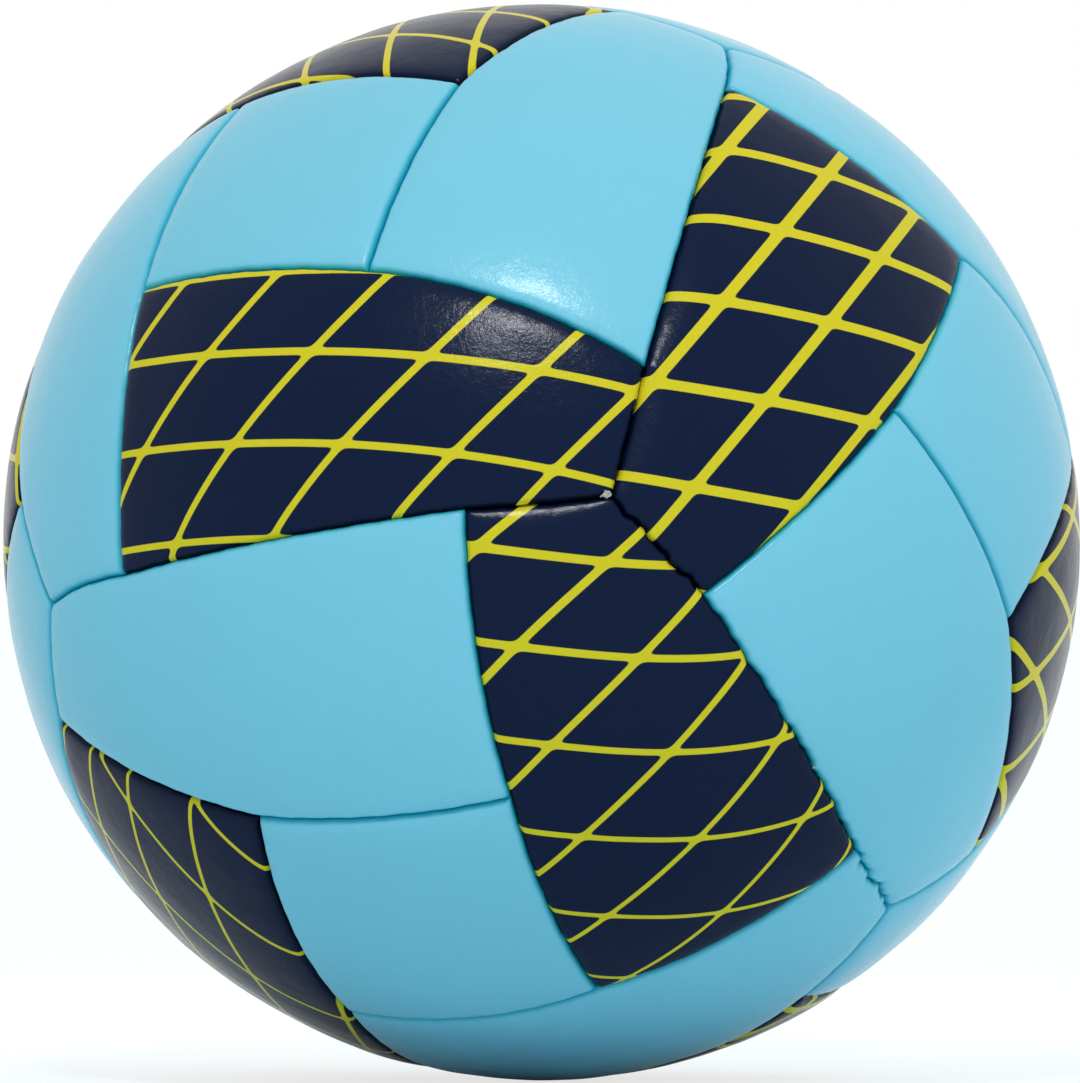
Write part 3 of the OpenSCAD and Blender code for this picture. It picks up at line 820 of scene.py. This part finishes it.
def seam_thread(a, b):
    """Two lines of thread on the turned-in edges and the stitches between them."""
    seam = Seam(a, b)
    holes = np.clip(seam.stitches, SEAM_END, seam.length - SEAM_END)
    if seam.flip:
        holes = seam.length - holes[::-1]
    lane = GAP + SKIN_T + THREAD_CLEAR
    s = np.arange(holes[0] - THREAD_D, holes[-1] + THREAD_D + THREAD_SLACK, THREAD_STEP)
    p = seam.line(s)
    r = BALL_R - STITCH_DEPTH
    parts = []
    for hand in (1, -1):
        side = np.tile(hand * seam.n, (len(s), 1))
        parts.append(tube(p * r + side * lane, side * THREAD_D, p * THREAD_D, STRAND))
    across = np.array([-1, 1])[:, None] * seam.n * (lane + 0.5 * THREAD_D)
    for out in seam.line(holes):
        side, up = np.tile(np.cross(seam.n, out), (2, 1)), np.tile(out, (2, 1))
        parts.append(tube(out * r + across, side * STITCH_R * THREAD_D, up * STITCH_R * THREAD_D, ROUND))
    return parts


# A loose thread end: its points, how much of its box it curls through, its radius in mm, and how much it thins
TUFT_POINTS, CURL, TUFT_R, TUFT_THINS = 14, 0.36, 0.11, 0.55


def tuft(place, size, strands, seed):
    """Cut thread ends that curl out of a seam, in a box of the given size (across, up the photo, outwards)."""
    rng = np.random.default_rng(seed)
    out = unit(place)
    up = unit(np.array([0, 0, 1.0]) - out * out[2])
    ways = (np.cross(up, out), up, out)
    t = np.linspace(0, 1, TUFT_POINTS)
    thick = TUFT_R * (1 - TUFT_THINS * t[:, None])
    parts = []
    for _ in range(strands):
        wild = rng.uniform(-1, 1, (3, 3))
        curls = [sum(wild[i, j] * np.sin(math.pi * (j + 1) * t + 2.4 * i) for j in range(3)) * CURL for i in range(3)]
        path = place + sum(np.outer(c * d, way) for c, d, way in zip(curls, size, ways))
        along = unit(np.gradient(path, axis=0))
        side = unit(np.cross(along, [0.3, 0.5, 0.8]))
        parts.append(tube(path, side * thick, np.cross(side, along) * thick, ROUND))
    return parts


# Where the closing thread's ends and two bits of thread show in the seams, from the ball's centre
KNOT_PLACE = np.array([0.1170, -0.9895, 0.0850]) * 89.35
BIT_UPPER = np.array([0.4976, -0.7643, -0.4102]) * 89.2
BIT_LOWER = np.array([0.5584, -0.6157, -0.5560]) * 89.0
# Which side of a trapezoid each group of threads sews, by the number of the corner that it starts at
SEWN_SIDES = {"corner_seam_threads": 0, "spoke_seam_threads": 1, "square_seam_threads": 2, "long_seam_threads": 4}
THREADS = {word: [] for word in SEWN_SIDES}
for corners in ALL_CORNERS["navy"] + ALL_CORNERS["sky"]:
    for word, i in SEWN_SIDES.items():
        # Two trapezoids share a long seam, so only one of them sews it
        if word == "long_seam_threads" and Seam(corners[i], corners[i + 1]).flip:
            continue
        THREADS[word] += seam_thread(corners[i], corners[i + 1])
THREADS["long_seam_threads"] += tuft(BIT_UPPER, (0.7, 0.5, 0.5), 3, 4)
THREADS["long_seam_threads"] += tuft(BIT_LOWER, (0.8, 0.7, 0.5), 3, 6)
THREADS["closing_knot"] = tuft(KNOT_PLACE, (1.5, 1.2, 0.9), 9, 11)
for word, parts in THREADS.items():
    piece = new_object(f"sewn_{word}", new_mesh(word, *join(parts)), thread_look)
    sewn_in(piece, word)

# ---------------------------------------------------------------- the bladder, swollen into every panel

# The bladder's outer radius over the seams and under the panels, and its wall
BLADDER_LOW, BLADDER_HIGH, BLADDER_T = 82.65, 85.3, 1.0
# How far inside a panel's seams it begins to swell, over what width it does, and the step of those outlines, in mm
SWELL_START, SWELL_W, SWELL_STEP = 2.33, 1.6, 3.0
# A panel touches only the places whose directions agree with its middle by this cosine
PANEL_SPAN = 0.75
# The rings stop at this angle before the far pole, where one point closes the wall
POLE_GAP = 0.02


def swelling(p, panels):
    """How far the bladder has swollen at directions p: 0 over the seams, 1 under the panels."""
    swell = np.zeros(len(p))
    for panel in panels:
        near = p @ panel.centre > PANEL_SPAN
        if not near.any():
            continue
        q = p[near]
        inside = np.full(len(q), BALL_R)
        for seam in panel.seams:
            bent = seam.wander(np.clip(seam.along(q), 0, seam.length))
            inside = np.minimum(inside, BALL_R * np.arcsin(np.clip(q @ seam.n, -1, 1)) - bent)
        x = np.clip((inside - SWELL_START) / SWELL_W, 0, 1)
        swell[near] = np.maximum(swell[near], x * x * (3 - 2 * x))
    return swell


def bladder():
    """A closed wall, wrapped round the neck: rows of points from the neck's rim to the far side and back."""
    panels = [Panel(c, SWELL_STEP) for group in ALL_CORNERS.values() for c in group]
    pole = unit(POSE @ FACE_TURNS[VALVE_FACE] @ np.array([0, 0, 1.0]))
    side = unit(np.cross(pole, [0.3, 0.5, 0.8]))
    other = np.cross(pole, side)
    rings, count = ((140, 280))
    around = np.arange(count) * 2 * np.pi / count
    flat = np.outer(np.cos(around), side) + np.outer(np.sin(around), other)
    rows = []
    for angle in np.linspace(NECK_R / BLADDER_HIGH, math.pi - POLE_GAP, rings):
        p = flat * math.sin(angle) + pole * math.cos(angle)
        rows.append(p * (BLADDER_LOW + (BLADDER_HIGH - BLADDER_LOW) * swelling(p, panels))[:, None])
    outer = np.vstack(rows + [rows[-1].mean(axis=0)[None, :]])
    inner = outer * (1 - BLADDER_T / np.linalg.norm(outer, axis=1, keepdims=True))
    lift = len(outer)
    wall = np.vstack([band(i, i + 1, count) for i in range(rings - 1)])
    far = cap(rings - 1, lift - 1, count)
    k = np.arange(count)
    nxt = (k + 1) % count
    mouth = np.stack([k, nxt, lift + nxt, lift + k], axis=1)
    quads = np.vstack([wall, wall[:, ::-1] + lift, mouth])
    return np.vstack([outer, inner]), quads, np.vstack([far, far[:, ::-1] + lift])


sewn_in(new_object("blown_bladder", new_mesh("bladder", *bladder()), bladder_look), "bladder")

# ---------------------------------------------------------------- floor, light and camera

WHITE = (1, 1, 1, 1)
# The floor's half width in metres, its own colour, and the white that it glows with: colour, strength and share
FLOOR_HALF = 30.0
FLOOR_COLOUR, FLOOR_ROUGHNESS, FLOOR_SPECULAR = (0.74, 0.93, 0.99, 1), 0.9, 0.1
GLOW_COLOUR, GLOW_STRENGTH, GLOW_SHARE = (1.0, 0.985, 0.975, 1), 1.13, 0.66
# The world's light on the ball: its level, and how much more comes from the ball's right
SKY_LEVEL, SKY_TILT = 0.88, 0.25


def seen_rays(n, mirrored=1.0):
    """One for the rays that show the surroundings straight or through glass, the share mirrored for those in a
    reflection, and zero for the rest.
    """
    rays = n.add("ShaderNodeLightPath").outputs
    glossy = n.math("MULTIPLY", rays["Is Glossy Ray"], mirrored)
    return n.math("MAXIMUM", n.math("MAXIMUM", rays["Is Camera Ray"], rays["Is Transmission Ray"]), glossy)


def unshaded(n):
    """The share of an even sky that reaches a place on the floor past the ball that stands on its middle."""
    away = n.add("ShaderNodeVectorMath", {"operation": "LENGTH"})
    n.feed(away.inputs[0], n.add("ShaderNodeTexCoord").outputs["Object"])
    ball = n.math("DIVIDE", BALL_R * MM, away.outputs["Value"])
    return n.math("SUBTRACT", 1.0, n.math("POWER", ball, 3.0))


def stage_floor():
    """A white floor: it glows for the rays that show it, with a painted shadow of the ball in the glow that
    reflections show, and only bounces light for the rest.
    """
    r, z = FLOOR_HALF, -BALL_R * MM
    mesh = bpy.data.meshes.new("floor")
    mesh.from_pydata([(-r, -r, z), (r, -r, z), (r, r, z), (-r, r, z)], [], [(0, 1, 2, 3)])
    n = new_material("floor")
    shader = n.tree.nodes["Principled BSDF"]
    n.set(shader, Base_Color=FLOOR_COLOUR, Roughness=FLOOR_ROUGHNESS, Specular_IOR_Level=FLOOR_SPECULAR)
    glow = n.add("ShaderNodeEmission", Color=GLOW_COLOUR, Strength=GLOW_STRENGTH)
    # Painted shadow: the glow that reflections show dims near the ball by the share of sky that the ball leaves there
    n.blend(n.math("MULTIPLY", seen_rays(n, unshaded(n)), GLOW_SHARE), shader, glow, "Material Output")
    new_object("floor", mesh, n.owner)


def studio():
    """Even white surroundings: seen as plain white, and lighting the ball a little more from its right."""
    world = bpy.data.worlds.new("world")
    bpy.context.scene.world = world
    n = Nodes(world)
    way = n.add("ShaderNodeSeparateXYZ", Vector=n.add("ShaderNodeTexCoord").outputs["Generated"])
    lit = n.tree.nodes["Background"]
    n.set(lit, Color=WHITE, Strength=n.math("MULTIPLY_ADD", way.outputs["X"], SKY_TILT, SKY_LEVEL))
    white = n.add("ShaderNodeBackground", Color=WHITE, Strength=1.0)
    n.blend(seen_rays(n), lit, white, "World Output")


def lamp(name, place, width, height, power):
    """A rectangular lamp that faces the ball's centre: sizes in metres, power in watts."""
    data = bpy.data.lights.new(name, "AREA")
    data.shape = "RECTANGLE"
    data.size = width
    data.size_y = height
    data.energy = power
    light = bpy.data.objects.new(name, data)
    light.location = place
    light.rotation_euler = (-Vector(place)).to_track_quat("-Z", "Y").to_euler()
    bpy.context.scene.collection.objects.link(light)
    return light


stage_floor()
studio()
# The key lamp lights the ball; the wider one at its place adds only the soft rim of its reflection
lamp("key", (-0.088, -0.787, 0.90), 0.13, 0.075, 4.3)
lamp("glint", (-0.090, -0.800, 0.885), 0.31, 0.19, 12.5).visible_diffuse = False

bpy.context.scene.view_settings.view_transform = "Standard"

# The photo's camera: its height and focal length in pixels, the ball's middle off the photo's, its distance in metres
PHOTO_PX, FOCAL_PX, OFF_X_PX, OFF_Y_PX = 1083, 15070.6, -1.66, 0.52
CAMERA_AWAY, SENSOR = 2.52, 36.0


def photo_camera():
    data = bpy.data.cameras.new("camera")
    data.sensor_fit = "VERTICAL"
    data.sensor_height = SENSOR
    data.sensor_width = SENSOR
    data.lens = FOCAL_PX * SENSOR / PHOTO_PX
    data.shift_x = OFF_X_PX / PHOTO_PX
    data.shift_y = OFF_Y_PX / PHOTO_PX
    data.clip_end = 200
    camera = bpy.data.objects.new("camera", data)
    camera.location = (0, -CAMERA_AWAY, 0)
    camera.rotation_euler = (math.radians(90), 0, 0)
    bpy.context.scene.collection.objects.link(camera)
    bpy.context.scene.camera = camera


photo_camera()
